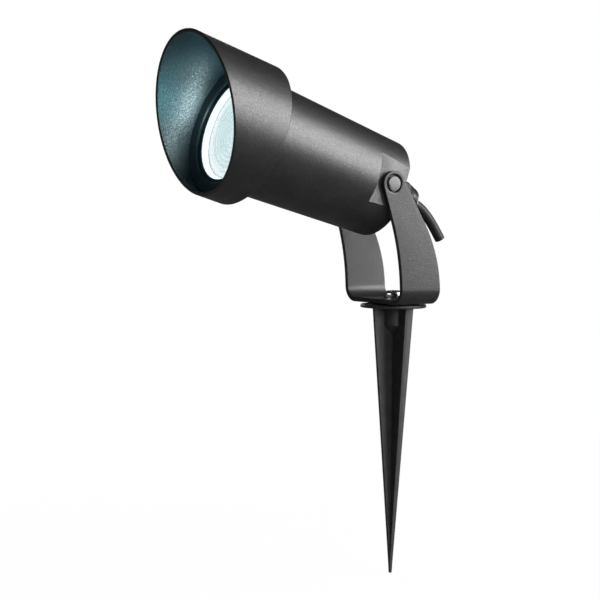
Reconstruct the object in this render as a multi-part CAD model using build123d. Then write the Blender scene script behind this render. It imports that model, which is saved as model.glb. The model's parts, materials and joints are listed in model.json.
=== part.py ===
from build123d import *
import math
import os

# Garden spike spotlight. Millimetres, +Z up, the head aims along -Y.
# The origin is on the spike's axis at the underside of its flange, which is soil level.

# ---------------------------------------------------------------- driving dimensions
# ground spike
flange_radius = 21.8
flange_thickness = 2.3
flange_edge_radius = 0.9
spike_length = 176.3
rib_half_width = 15.9
rib_thickness = 2.0
spike_point_half_width = 0.75
spike_tip_half_width = 0.35
spike_point_length = 3.2
boss_radius = 7.7
boss_depth = 11.6
boss_tip_radius = 0.05
insert_wall = 1.0
insert_length = 9.0
insert_hole_below = 1.0

# joint between the spike and the stirrup
friction_washer_radius = 14.1
friction_washer_thickness = 0.9
friction_washer_bore_gap = 0.5
play = 0.05
base_screw_radius = 3.0
base_screw_engagement = 7.6
base_screw_head_radius = 6.0
base_screw_head_height = 4.0
base_screw_head_edge = 2.6
base_screw_socket = 4.0
base_screw_socket_depth = 2.2
base_washer_radius = 6.2
base_washer_thickness = 1.0

# stirrup
stirrup_thickness = 3.0
stirrup_bend_radius = 10.5
stirrup_back_y = 14.3
stirrup_front_y = -16.2
ear_back_lean = 30.424
back_sweep_rise = 6.55
ear_front_lean = 18.361
front_sweep_rise = 5.25
ear_end_radius = 8.3
stirrup_edge_radius = 0.4

# pivot
pivot_y = -23.2
pivot_height = 79.64
head_tilt = 18.35
shoulder_radius = 2.95
pivot_head_radius = 4.85
pivot_head_thickness = 1.3
pivot_socket = 3.0
pivot_socket_depth = 0.9
pivot_head_gap = 1.05
counterbore_depth = 2.0
counterbore_chamfer = 1.0
cap_thickness = 0.7
cap_edge_radius = 0.35
pivot_thread_radius = 2.45
pivot_thread_length = 8.7
pivot_thread_gap = 0.05
pivot_hole_beyond = 0.2
pivot_boss_radius = 5.5
pivot_boss_wall = 1.5
ear_clearance = 0.5
pivot_washer_inset = 0.3

# housing, measured along the head's axis from the pivot, forward positive
housing_step = 0.986
housing_rear = -11.05
housing_edge_radius = 0.6
housing_wall = 2.5
housing_front_wall = 3.5
rear_wall = 3.0
pocket_wall = 3.2
pocket_front = 13.0
pocket_depth = 3.65
wire_room = 6.5
spigot_length = 7.2
gasket_seat_gap = 0.15

# shroud
shroud_step = 9.314
shroud_taper = 0.024
shroud_wall = 2.45
shroud_web = 2.5
shroud_axis_length = 41.25
shroud_cut_angle = 25.1
shroud_edge_radius = 0.5
shroud_fit = 0.08

# glass, gasket and front ring
glass_margin = 4.6
glass_thickness = 3.0
gasket_lip = 1.0
gasket_bite = 2.65
gasket_wall = 1.4
front_ring_lip = 1.5
front_ring_grip = 1.5
front_ring_fit = 0.1
front_ring_edge = 0.5
gasket_fit = 0.1

# lamp with screw cap
lamp_front_gap = 1.6
lamp_radius = 31.8
lamp_rim_height = 5.0
lamp_length = 88.0
lamp_neck_radius = 17.0
lamp_neck_length = 10.0
lamp_neck_floor = 2.0
lamp_shell = 1.2
lamp_lens_thickness = 2.0
lamp_lens_crown = 1.0
lamp_lens_rim = 4.45
cap_radius = 13.0
cap_length = 23.0
cap_shell = 0.6
cap_thread_pitch = 3.6
cap_thread_depth = 0.7
cap_thread_margin = 2.0
lamp_insulator_radius = 9.0
lamp_insulator_height = 3.0
lamp_contact_radius = 4.8
lamp_contact_height = 1.2
led_board_radius = 22.0
led_board_thickness = 1.6
led_board_setback = 16.0
led_shelf_width = 3.0
led_shelf_thickness = 2.0

# lampholder
holder_radius = 19.5
holder_mouth_gap = 0.65
holder_edge_radius = 1.2
holder_floor = 2.35
holder_base_radius = 12.0
holder_base_height = 3.0
holder_wall_clearance = 0.35
sleeve_wall = 0.5
sleeve_clearance = 0.3
sleeve_setback = 2.0
sleeve_foot = 1.0
holder_contact_width = 6.0
holder_contact_length = 9.0
holder_contact_thickness = 0.6

# bridge that carries the lampholder
bridge_height = 12.1
bridge_sheet = 1.5
bridge_half_width = 5.0
bridge_end_gap = 0.3
bridge_pillar_radius = 3.0
bridge_pillar_height = 5.0
bridge_pillar_gap = 0.4
pillar_hole_floor = 0.4
holder_screw_y = 7.0
holder_hole_beyond = 0.3
small_screw_radius = 1.45
small_screw_hole_gap = 0.1
small_head_radius = 2.6
small_head_height = 1.8
small_slot_width = 0.7
small_screw_length = 5.0

# terminal block
block_width = 16.0
block_height = 8.4
block_length = 17.0
block_rear = 21.0
block_clearance = 0.9
block_corner_radius = 0.6
block_pitch = 8.0
clamp_side = 4.0
clamp_inset = 2.0
clamp_bore = 1.5
clamp_screw_radius = 1.3
clamp_screw_sunk = 0.6
clamp_screw_well_gap = 0.5
clamp_screw_slot_width = 0.6
clamp_screw_slot_depth = 1.0
block_pad_half_width = 4.0
block_screw_length = 10.0
block_screw_sunk = 0.1
block_screw_beyond = 1.0

# wiring
core_radius = 1.0
core_spread = 1.3
core_holder_gap = 2.8
core_bend_radius = 2.5
core_lead = 0.5
core_insertion = 2.2
core_side_reach = 5.0
sheath_end = 1.0
live_start_angle = 10.0
neutral_start_angle = -110.0
earth_start_angle = 130.0
live_route_angle = -44.0
neutral_route_angle = -56.0
earth_screw_angle = 145.0
earth_screw_inset = 7.0
earth_pillar_height = 7.0
earth_hole_floor = 0.8
earth_tag_thickness = 0.8
earth_tag_radius = 3.2
earth_crimp_gap = 0.6

# cable gland and cord
gland_thread_radius = 7.9
gland_hole_gap = 0.1
gland_bore_gap = 0.3
gland_washer_radius = 10.0
gland_washer_thickness = 1.0
gland_flange_flats = 20.0
gland_flange_length = 6.0
gland_neck_length = 9.5
gland_neck_wall = 2.3
locknut_flats = 21.0
locknut_corner = 1.05
locknut_length = 4.0
dome_flats = 20.6
dome_corner = 1.0
dome_length = 22.25
dome_barrel_length = 11.6
dome_taper_length = 7.0
dome_shoulder_radius = 8.9
dome_nose_wall = 0.3
dome_nose_bulge = 0.68
dome_nose_bulge_height = 0.36
dome_gap = 0.3
dome_mouth_gap = 1.7
dome_throat_gap = 0.6
dome_neck_gap = 1.0
seal_wall = 3.0
seal_length = 9.0
seal_setback = 2.0
rubber_fit = 0.05
cord_radius = 3.4
# share of the shorter run that each arc of the cord takes at its end
cord_arc_share = 0.45
# cord route in the head's own frame: along the axis and up from it, from inside the gland
cord_points = [
    (-31.5, 0.0),
    (-38.6, 0.0),
    (-45.8, -1.4),
    (-52.5, -4.1),
    (-61.4, -9.9),
    (-69.3, -16.3),
]

# how far a cut runs past the face that it opens, and a fused piece into its neighbour
beyond = 1.0
bite = 0.5

# ---------------------------------------------------------------- derived sizes
washer_top = flange_thickness + friction_washer_thickness
stirrup_bottom = washer_top + play
stirrup_top = stirrup_bottom + stirrup_thickness
pivot_z = flange_thickness + pivot_height
insert_radius = base_screw_radius + insert_wall

# outward from the lampholder: wires, pocket wall, washer, ear
rear_cavity_radius = holder_radius + wire_room
pocket_half_spacing = rear_cavity_radius + pocket_wall
housing_radius_at_pivot = pocket_half_spacing + pocket_depth
ear_inner = pocket_half_spacing + ear_clearance
stirrup_half_width = ear_inner + stirrup_thickness
pivot_washer_thickness = ear_clearance - play
counterbore_radius = pivot_head_radius + pivot_head_gap
counterbore_floor = stirrup_half_width - counterbore_depth

# from the rear wall forward: bridge, lampholder, lamp, glass
rear_wall_front = housing_rear + rear_wall
pillar_top = rear_wall_front + bridge_pillar_height
bridge_plate_front = pillar_top + bridge_height
bridge_plate_rear = bridge_plate_front - bridge_sheet
holder_body_rear = bridge_plate_front + holder_base_height
holder_bore_floor = holder_body_rear + holder_floor
lamp_rear = holder_bore_floor + holder_contact_thickness
cap_rear = lamp_rear + lamp_contact_height + lamp_insulator_height
cap_front = cap_rear + cap_length
holder_front = cap_front - holder_mouth_gap
lamp_front = lamp_rear + lamp_length
lens_rear = lamp_front - lamp_lens_crown - lamp_lens_thickness
glass_rear = lamp_front + lamp_front_gap
glass_front = glass_rear + glass_thickness
spigot_front = glass_rear - gasket_lip
gasket_front = glass_front + gasket_lip
ring_front = gasket_front + front_ring_lip
housing_shoulder = spigot_front - spigot_length
ring_rear = housing_shoulder + shroud_web

# outward from the lamp: glass, gasket, spigot, ring, shroud
glass_radius = lamp_radius + glass_margin
gasket_inner_radius = glass_radius - gasket_bite
gasket_seat_radius = gasket_inner_radius - gasket_seat_gap
gasket_radius = glass_radius + gasket_fit + gasket_wall
spigot_radius = glass_radius + gasket_fit
housing_front_radius = spigot_radius + housing_step
housing_taper = (housing_front_radius - housing_radius_at_pivot) / housing_shoulder
shroud_radius = housing_front_radius + shroud_step
front_ring_inner_radius = gasket_radius - front_ring_grip

rear_cavity_front = pocket_front + housing_wall
bridge_screw_y = rear_cavity_radius - bridge_pillar_radius - bridge_pillar_gap
bridge_leg_y = bridge_screw_y - small_head_radius
small_hole_radius = small_screw_radius + small_screw_hole_gap
sleeve_inner = cap_radius + sleeve_clearance
sleeve_outer = sleeve_inner + sleeve_wall

block_front = block_rear + block_length
block_middle = (block_rear + block_front) / 2
block_top_y = -holder_radius - block_clearance
block_middle_y = block_top_y - block_height / 2
block_screw_seat = block_top_y - small_head_height - block_screw_sunk
clamp_positions = [block_middle - block_pitch / 2, block_middle + block_pitch / 2]

dome_front = housing_rear - gland_washer_thickness - gland_flange_length
dome_nose = dome_front - dome_length
seal_radius = cord_radius + seal_wall
gland_neck_radius = seal_radius + gland_neck_wall
gland_neck_end = dome_front - gland_neck_length
seal_high = dome_front - seal_setback
seal_low = seal_high - seal_length
cord_start = cord_points[0][0]
cable_end = rear_wall_front + locknut_length + sheath_end


# ---------------------------------------------------------------- helpers
def disc(radius, low, high):
    """Solid cylinder about the local axis between two heights."""
    return Pos(0, 0, low) * Cylinder(radius, high - low, align=(Align.CENTER, Align.CENTER, Align.MIN))


def ring(outer, inner, low, high):
    """Tube about the local axis between two heights."""
    return disc(outer, low, high) - disc(inner, low - beyond, high + beyond)


def cone(low_radius, high_radius, low, high):
    """Solid frustum about the local axis between two heights."""
    body = Cone(low_radius, high_radius, high - low, align=(Align.CENTER, Align.CENTER, Align.MIN))
    return Pos(0, 0, low) * body


def block(width, depth, low, high):
    """Box centred on the local axis between two heights."""
    return Pos(0, 0, low) * Box(width, depth, high - low, align=(Align.CENTER, Align.CENTER, Align.MIN))


def hexagon(flats, low, high):
    """Hexagonal prism about the local axis, given across its flats."""
    outline = RegularPolygon(flats / 2, 6, major_radius=False)
    return Pos(0, 0, low) * extrude(outline, high - low)


def turned(points):
    """Solid of revolution about the local axis from (radius, height) points."""
    outline = Plane.XZ * make_face(Polyline(*points, close=True))
    return revolve(outline, Axis.Z)


def circles(shape):
    """The shape's round edges, lowest first."""
    return shape.edges().filter_by(GeomType.CIRCLE).sort_by(Axis.Z)


def both_sides(shape):
    """The shape and its mirror image across the YZ plane."""
    return [shape, mirror(shape, Plane.YZ)]


def head_place():
    """Takes the head's own frame, local Z forward along its axis, to where the head sits."""
    return Pos(0, pivot_y, pivot_z) * Rot(X=90 - head_tilt)


def housing_radius(along):
    """Outer radius of the tapered housing at a distance forward of the pivot."""
    return housing_radius_at_pivot + housing_taper * along


parts = {}


def keep(name, shape):
    """Files a finished piece, or a group of alike pieces, under its node name."""
    solids = shape if isinstance(shape, list) else [shape]
    flat = []
    for item in solids:
        flat.extend(item.solids())
    parts[name] = flat[0] if len(flat) == 1 else Compound(children=flat)


def keep_head(name, shape):
    """The same for a piece that was modelled in the head's own frame."""
    solids = shape if isinstance(shape, list) else [shape]
    keep(name, [head_place() * item for item in solids])


# ---------------------------------------------------------------- ground spike
def rib_pair():
    """Two opposite ribs as one tapering plate in the XZ plane, ending in a blunt point."""
    half = [
        (rib_half_width, 0),
        (spike_point_half_width, spike_point_length - spike_length),
        (spike_tip_half_width, -spike_length),
    ]
    outline = half + [(-x, z) for x, z in reversed(half)]
    plate = make_face(Polyline(*outline, close=True))
    return extrude(Plane.XZ * plate, rib_thickness / 2, both=True)


def ground_spike():
    flange = disc(flange_radius, 0, flange_thickness)
    flange = fillet(circles(flange), flange_edge_radius)
    boss = disc(boss_radius, -boss_depth, flange_thickness / 2)
    boss += cone(boss_tip_radius, boss_radius, -boss_depth - boss_radius, -boss_depth)
    body = flange + boss + rib_pair() + Rot(Z=90) * rib_pair()
    hole_low = flange_thickness - insert_length - insert_hole_below
    return body - disc(insert_radius, hole_low, flange_thickness + beyond)


keep("ground_spike", ground_spike())
keep("spike_insert", ring(insert_radius - rubber_fit, base_screw_radius + play,
                          flange_thickness - insert_length, flange_thickness))
keep("friction_washer", ring(friction_washer_radius, base_screw_radius + friction_washer_bore_gap,
                             flange_thickness, washer_top))


# ---------------------------------------------------------------- base screw and washer
base_washer_low = stirrup_top + play
base_washer_high = base_washer_low + base_washer_thickness


def base_screw():
    """Domed-head screw with a hexagon socket, standing in the stirrup's floor."""
    head_high = base_washer_high + base_screw_head_height
    head = disc(base_screw_head_radius, base_washer_high, head_high)
    head = fillet(circles(head)[-1], base_screw_head_edge)
    shank = disc(base_screw_radius, flange_thickness - base_screw_engagement, base_washer_high + bite)
    return head + shank - hexagon(base_screw_socket, head_high - base_screw_socket_depth, head_high + beyond)


keep("base_washer", ring(base_washer_radius, base_screw_radius + play, base_washer_low, base_washer_high))
keep("base_screw", base_screw())


# ---------------------------------------------------------------- stirrup
def ear_flank(foot_y, sweep_rise, lean, side):
    """One flank of the ear in Y and Z: up from the foot, through an arc that touches both
    lines, then straight at its lean until it touches the ear's round end. The side is +1
    for the back flank and -1 for the front one."""
    normal = (math.cos(math.radians(lean)), math.sin(math.radians(lean)))
    start = (foot_y, stirrup_bottom + sweep_rise)
    touch = (pivot_y + side * ear_end_radius * normal[0], pivot_z + side * ear_end_radius * normal[1])
    offset = (touch[0] - start[0]) * normal[0] + (touch[1] - start[1]) * normal[1]
    radius = offset / (1 - normal[0])
    centre = (foot_y - radius, start[1])
    end = (centre[0] + radius * normal[0], centre[1] + radius * normal[1])
    half = math.radians(lean / 2)
    middle = (centre[0] + radius * math.cos(half), centre[1] + radius * math.sin(half))
    return start, middle, end, touch


def ear_outline():
    """Side view of the stirrup in Y and Z: straight at the foot, swept forward to the pivot."""
    back_start, back_middle, back_end, back_touch = ear_flank(
        stirrup_back_y, back_sweep_rise, ear_back_lean, 1)
    front_start, front_middle, front_end, front_touch = ear_flank(
        stirrup_front_y, front_sweep_rise, ear_front_lean, -1)
    lean = math.radians((ear_back_lean + ear_front_lean) / 2)
    top = (pivot_y - ear_end_radius * math.sin(lean), pivot_z + ear_end_radius * math.cos(lean))
    lines = [
        Line((stirrup_front_y, stirrup_bottom), (stirrup_back_y, stirrup_bottom)),
        Line((stirrup_back_y, stirrup_bottom), back_start),
        ThreePointArc(back_start, back_middle, back_end),
        Line(back_end, back_touch),
        ThreePointArc(back_touch, top, front_touch),
        Line(front_touch, front_end),
        ThreePointArc(front_end, front_middle, front_start),
        Line(front_start, (stirrup_front_y, stirrup_bottom)),
    ]
    return make_face(Wire(lines))


def bent_strip():
    """Flat strip bent to a U about the Y axis, longer than the ears are wide."""
    height = pivot_z + ear_end_radius - stirrup_bottom
    outer = Pos(0, height / 2) * Rectangle(2 * stirrup_half_width, height)
    outer = fillet(outer.vertices().group_by(Axis.Y)[0], stirrup_bend_radius)
    inner_height = height - stirrup_thickness
    inner = Pos(0, stirrup_thickness + inner_height / 2) * Rectangle(2 * ear_inner, inner_height)
    inner = fillet(inner.vertices().group_by(Axis.Y)[0], stirrup_bend_radius - stirrup_thickness)
    reach = stirrup_back_y + abs(pivot_y) + ear_end_radius
    return Pos(0, 0, stirrup_bottom) * extrude(Plane.XZ * (outer - inner), reach, both=True)


def stirrup():
    """The bent strip with its ears cut to the swept outline, its edges eased."""
    body = extrude(Plane.YZ * ear_outline(), stirrup_half_width + beyond, both=True) & bent_strip()
    body = fillet(body.edges(), stirrup_edge_radius)
    body -= disc(base_screw_radius + play, stirrup_bottom - beyond, stirrup_top + beyond)
    bore = disc(shoulder_radius + play, ear_inner - beyond, stirrup_half_width + beyond)
    bore += disc(counterbore_radius, counterbore_floor, stirrup_half_width + beyond)
    mouth = counterbore_radius + counterbore_chamfer
    bore += cone(counterbore_radius, mouth, stirrup_half_width - counterbore_chamfer, stirrup_half_width)
    for hole in both_sides(Pos(0, pivot_y, pivot_z) * Rot(Y=90) * bore):
        body -= hole
    return body


keep("stirrup", stirrup())


# ---------------------------------------------------------------- pivot pieces, in the head's frame
pivot_head_low = counterbore_floor + play
pivot_head_high = pivot_head_low + pivot_head_thickness


def pivot_screw():
    """Shouldered screw along +X: thread in the housing, shoulder in the ear, low flat head."""
    thread = disc(pivot_thread_radius, pocket_half_spacing - pivot_thread_length, pocket_half_spacing)
    shoulder = disc(shoulder_radius, pocket_half_spacing, pivot_head_low)
    head = disc(pivot_head_radius, pivot_head_low, pivot_head_high)
    socket = hexagon(pivot_socket, pivot_head_high - pivot_socket_depth, pivot_head_high + beyond)
    return Rot(Y=90) * (thread + shoulder + head - socket)


def pivot_cap():
    """Plain cap over the screw's head, with a plug that sits in its socket."""
    plate = disc(pivot_head_radius, pivot_head_high, pivot_head_high + cap_thickness)
    plate = fillet(circles(plate)[-1], cap_edge_radius)
    plug = hexagon(pivot_socket - 2 * rubber_fit, pivot_head_high - pivot_socket_depth / 2,
                   pivot_head_high + cap_thickness / 2)
    return Rot(Y=90) * (plate + plug)


pivot_washer = ring(ear_end_radius - pivot_washer_inset, shoulder_radius + play,
                    pocket_half_spacing, pocket_half_spacing + pivot_washer_thickness)
keep_head("pivot_screws", both_sides(pivot_screw()))
keep_head("pivot_caps", both_sides(pivot_cap()))
keep_head("pivot_washers", both_sides(Rot(Y=90) * pivot_washer))


# ---------------------------------------------------------------- housing
def housing_shell():
    """Tapered outer form with a spigot in front and a flat pocket for each ear."""
    outer = cone(housing_radius(housing_rear), housing_front_radius, housing_rear, housing_shoulder)
    size = 2 * housing_front_radius
    pocket = Box(size, 2 * size, size, align=(Align.MIN, Align.CENTER, Align.MAX))
    for cut in both_sides(Pos(pocket_half_spacing, 0, pocket_front) * pocket):
        outer -= cut
    edges = outer.edges().filter_by(GeomType.HYPERBOLA)
    edges += outer.edges().group_by(Axis.Z)[0]
    edges += [edge for edge in circles(outer) if abs(edge.center().Z - pocket_front) < housing_edge_radius]
    outer = fillet(edges, housing_edge_radius)
    return outer + disc(spigot_radius, housing_shoulder, spigot_front)


def housing_cavity():
    """Narrow between the flats, then following the taper at one wall, then the gasket's seat."""
    cavity = disc(rear_cavity_radius, rear_wall_front, rear_cavity_front)
    cavity += cone(housing_radius(rear_cavity_front) - housing_wall, housing_front_radius - housing_front_wall,
                   rear_cavity_front, housing_shoulder)
    return cavity + disc(gasket_seat_radius, housing_shoulder - beyond, spigot_front + beyond)


def pillar(x, y, height):
    """Round pillar on the inside of the rear wall."""
    return Pos(x, y, 0) * disc(bridge_pillar_radius, rear_wall_front - bite, rear_wall_front + height)


def pillar_hole(x, y, height, floor):
    """Blind screw hole down a pillar."""
    return Pos(x, y, 0) * disc(small_hole_radius, rear_wall_front + floor, rear_wall_front + height + beyond)


def housing():
    outer = housing_shell()
    body = outer - housing_cavity()
    boss_end = pocket_half_spacing - pivot_thread_length - pivot_boss_wall
    boss = Rot(Y=90) * disc(pivot_boss_radius, boss_end, rear_cavity_radius + beyond)
    hole_end = pocket_half_spacing - pivot_thread_length - pivot_hole_beyond
    hole = Rot(Y=90) * disc(pivot_thread_radius + pivot_thread_gap, hole_end, pocket_half_spacing + beyond)
    for piece in both_sides(boss):
        body += piece
    for piece in both_sides(hole):
        body -= piece
    for side in (-1, 1):
        body += pillar(0, side * bridge_screw_y, bridge_pillar_height)
        body -= pillar_hole(0, side * bridge_screw_y, bridge_pillar_height, pillar_hole_floor)
    body += pillar(earth_screw_x, earth_screw_y, earth_pillar_height)
    body -= pillar_hole(earth_screw_x, earth_screw_y, earth_pillar_height, earth_hole_floor)
    pad = Box(2 * block_pad_half_width, housing_front_radius, block_pitch,
              align=(Align.CENTER, Align.MAX, Align.CENTER))
    body += (Pos(0, block_top_y - block_height, block_middle) * pad) & outer
    hole_middle = block_screw_seat - block_screw_length / 2
    pad_hole = Cylinder(small_hole_radius, block_screw_length + block_screw_beyond)
    body -= Pos(0, hole_middle, block_middle) * (Rot(X=90) * pad_hole)
    return body - disc(gland_thread_radius + gland_hole_gap, housing_rear - beyond, rear_wall_front + beyond)


earth_screw_reach = rear_cavity_radius - earth_screw_inset
earth_screw_x = earth_screw_reach * math.cos(math.radians(earth_screw_angle))
earth_screw_y = earth_screw_reach * math.sin(math.radians(earth_screw_angle))
keep_head("housing", housing())


# ---------------------------------------------------------------- shroud
def shroud_outer_radius(along):
    return shroud_radius + shroud_taper * (along - housing_shoulder)


def shroud():
    """Flared skirt with a web at its rear, cut off at a slant so that its top reaches furthest."""
    front = housing_shoulder + shroud_axis_length + shroud_radius
    outer = cone(shroud_radius, shroud_outer_radius(front), housing_shoulder, front)
    inner = cone(shroud_outer_radius(ring_rear) - shroud_wall, shroud_outer_radius(front) - shroud_wall,
                 ring_rear, front)
    size = 4 * shroud_radius
    cutter = Box(size, size, size, align=(Align.CENTER, Align.CENTER, Align.MIN))
    cutter = Pos(0, 0, housing_shoulder + shroud_axis_length) * (Rot(X=shroud_cut_angle) * cutter)
    body = outer - inner - cutter
    rims = body.edges().filter_by(GeomType.ELLIPSE) + circles(body)[:1]
    body = fillet(rims, shroud_edge_radius)
    return body - disc(spigot_radius + shroud_fit, housing_shoulder - beyond, ring_rear + beyond)


keep_head("shroud", shroud())


# ---------------------------------------------------------------- glass, gasket and front ring
def glass_gasket():
    """U-shaped channel round the edge of the glass."""
    body = ring(gasket_radius, gasket_inner_radius, spigot_front, gasket_front)
    return body - disc(glass_radius + gasket_fit, glass_rear, glass_front)


def front_ring():
    """Ring screwed to the housing's spigot: clamps the shroud's web, the gasket and the glass."""
    radius = shroud_outer_radius(ring_rear) - shroud_wall - front_ring_fit
    body = ring(radius, front_ring_inner_radius, ring_rear, ring_front)
    body -= disc(spigot_radius + front_ring_fit, ring_rear - beyond, spigot_front)
    body -= disc(gasket_radius + front_ring_fit, spigot_front - front_ring_fit, gasket_front)
    inner_edge = body.edges().filter_by(GeomType.CIRCLE).group_by(Axis.Z)[-1].sort_by(SortBy.RADIUS)[0]
    return chamfer(inner_edge, front_ring_edge)


keep_head("front_glass", disc(glass_radius, glass_rear, glass_front))
keep_head("glass_gasket", glass_gasket())
keep_head("front_ring", front_ring())


# ---------------------------------------------------------------- lamp
board_rear = lens_rear - led_board_setback


def lamp_bowl(neck_radius, rim_radius, low, neck_top, rim_low, high):
    """Turned outline of a lamp's neck, bowl and rim, closed on the axis."""
    return turned([(0, low), (neck_radius, low), (neck_radius, neck_top),
                   (rim_radius, rim_low), (rim_radius, high), (0, high)])


def lamp_body():
    """Reflector shell: neck, bowl and rim, hollow behind the lens, with a shelf for its board."""
    rim_low = lens_rear - lamp_rim_height
    neck_top = cap_front + lamp_neck_length
    outer = lamp_bowl(lamp_neck_radius, lamp_radius, cap_front, neck_top, rim_low, lens_rear)
    inner = lamp_bowl(lamp_neck_radius - lamp_shell, lamp_radius - lamp_shell, cap_front + lamp_neck_floor,
                      neck_top + lamp_shell / 2, rim_low + lamp_shell / 2, lens_rear + beyond)
    shelf = ring(lamp_radius, led_board_radius - led_shelf_width, board_rear - led_shelf_thickness, board_rear)
    return outer - inner + (shelf & outer)


def lamp_lens():
    """Slightly crowned disc with a flat rim."""
    rim_front = lens_rear + lamp_lens_thickness
    flat = lamp_radius - lamp_lens_rim
    sphere_radius = (flat ** 2 + lamp_lens_crown ** 2) / (2 * lamp_lens_crown)
    dome = Pos(0, 0, lamp_front - sphere_radius) * Sphere(sphere_radius)
    dome &= disc(flat, rim_front - bite, lamp_front + beyond)
    return disc(lamp_radius, lens_rear, rim_front) + dome


def lamp_cap():
    """Screw cap with a rounded thread drawn as rings."""
    core_of_thread = cap_radius - cap_thread_depth
    body = disc(core_of_thread, cap_rear, cap_front)
    quarter = cap_thread_pitch / 4
    for turn in range(int((cap_length - 2 * cap_thread_margin) / cap_thread_pitch)):
        middle = cap_rear + cap_thread_margin + cap_thread_pitch * (turn + 1 / 2)
        body += cone(core_of_thread, cap_radius, middle - quarter, middle)
        body += cone(cap_radius, core_of_thread, middle, middle + quarter)
    return body - disc(core_of_thread - cap_shell, cap_rear + cap_shell, cap_front + beyond)


keep_head("lamp_body", lamp_body())
keep_head("lamp_led_board", disc(led_board_radius, board_rear, board_rear + led_board_thickness))
keep_head("lamp_lens", lamp_lens())
keep_head("lamp_cap", lamp_cap())
keep_head("lamp_insulator", cone(lamp_contact_radius, lamp_insulator_radius,
                                 lamp_rear + lamp_contact_height, cap_rear))
keep_head("lamp_contact", disc(lamp_contact_radius, lamp_rear, lamp_rear + lamp_contact_height))


# ---------------------------------------------------------------- lampholder
def lampholder():
    """Cup round the lamp's cap on a narrower base, with two blind screw holes in its foot."""
    body = disc(holder_radius, holder_body_rear, holder_front)
    body = fillet(circles(body), holder_edge_radius)
    body += disc(holder_base_radius, bridge_plate_front, holder_body_rear + holder_floor / 2)
    body -= disc(sleeve_outer + holder_wall_clearance, holder_bore_floor, holder_front + beyond)
    hole_high = bridge_plate_rear + small_screw_length + holder_hole_beyond
    for side in (-1, 1):
        body -= Pos(0, side * holder_screw_y, 0) * disc(small_hole_radius, bridge_plate_front - beyond, hole_high)
    return body


def lampholder_sleeve():
    """Thin brass sleeve for the lamp's thread, with a foot that centres it in the cup."""
    foot_radius = sleeve_outer + holder_wall_clearance - rubber_fit
    body = ring(sleeve_outer, sleeve_inner, holder_bore_floor, holder_front - sleeve_setback)
    return body + ring(foot_radius, sleeve_inner, holder_bore_floor, holder_bore_floor + sleeve_foot)


keep_head("lampholder", lampholder())
keep_head("lampholder_sleeve", lampholder_sleeve())
keep_head("lampholder_contact", block(holder_contact_width, holder_contact_length, holder_bore_floor, lamp_rear))


# ---------------------------------------------------------------- bridge and its screws
def bridge():
    """Sheet bent to a bridge over the gland's locknut: two feet, two legs and a plate."""
    width = 2 * bridge_half_width
    body = block(width, 2 * bridge_leg_y, bridge_plate_rear, bridge_plate_front)
    body += block(width, 2 * bridge_leg_y, pillar_top, bridge_plate_front)
    body -= block(width + beyond, 2 * (bridge_leg_y - bridge_sheet), pillar_top - beyond, bridge_plate_rear)
    feet = block(width, 2 * rear_cavity_radius, pillar_top, pillar_top + bridge_sheet)
    body += feet - block(width + beyond, 2 * (bridge_leg_y - bite), pillar_top - beyond, bridge_plate_rear)
    for side in (-1, 1):
        body -= Pos(0, side * bridge_screw_y, 0) * disc(small_hole_radius, pillar_top - beyond, bridge_plate_rear)
        body -= Pos(0, side * holder_screw_y, 0) * disc(small_hole_radius, pillar_top, bridge_plate_front + beyond)
    return body & disc(rear_cavity_radius - bridge_end_gap, pillar_top - beyond, bridge_plate_front + beyond)


def pan_screw(length):
    """Small pan-head screw with a slot, its head seated at zero and its shank pointing down."""
    head = disc(small_head_radius, 0, small_head_height)
    head = fillet(circles(head)[-1], small_head_height / 2)
    head -= block(small_slot_width, 2 * small_head_radius, small_head_height / 2, small_head_height + beyond)
    return head + disc(small_screw_radius, -length, small_head_height / 4)


keep_head("lampholder_bridge", bridge())
bridge_screws = []
for side in (-1, 1):
    foot_screw = Pos(0, side * bridge_screw_y, pillar_top + bridge_sheet) * pan_screw(small_screw_length)
    plate_screw = Pos(0, side * holder_screw_y, bridge_plate_rear) * (Rot(X=180) * pan_screw(small_screw_length))
    bridge_screws += [foot_screw, plate_screw]
keep_head("bridge_screws", bridge_screws)


# ---------------------------------------------------------------- terminal block
def terminal_block():
    """Block with a tunnel for each clamp, wells over their screws and a hole for its own screw."""
    body = Pos(0, block_middle_y, 0) * block(block_width, block_height, block_rear, block_front)
    body = fillet(body.edges().filter_by(Axis.Z), block_corner_radius)
    tunnel_side = clamp_side + 2 * rubber_fit
    for along in clamp_positions:
        body -= Pos(0, block_middle_y, along) * Box(block_width + beyond, tunnel_side, tunnel_side)
        for side in (-1, 1):
            well = Rot(X=90) * Cylinder(clamp_screw_radius + clamp_screw_well_gap, block_height)
            body -= Pos(side * block_width / 4, block_top_y, along) * well
    hole = Rot(X=90) * Cylinder(small_hole_radius, 2 * block_height + beyond)
    recess = Cylinder(small_head_radius + small_screw_hole_gap, block_height,
                      align=(Align.CENTER, Align.CENTER, Align.MIN))
    body -= Pos(0, block_top_y, block_middle) * hole
    return body - Pos(0, block_screw_seat, block_middle) * (Rot(X=-90) * recess)


def terminal_clamp(along):
    """Brass cube with a bore for two cores and a threaded hole over each."""
    body = Box(block_width - 2 * clamp_inset, clamp_side, clamp_side)
    body -= Rot(Y=90) * Cylinder(clamp_bore, block_width)
    hole = Cylinder(clamp_screw_radius + rubber_fit, clamp_side, align=(Align.CENTER, Align.CENTER, Align.MIN))
    for side in (-1, 1):
        body -= Pos(side * block_width / 4, 0, 0) * (Rot(X=-90) * hole)
    return Pos(0, block_middle_y, along) * body


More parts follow.
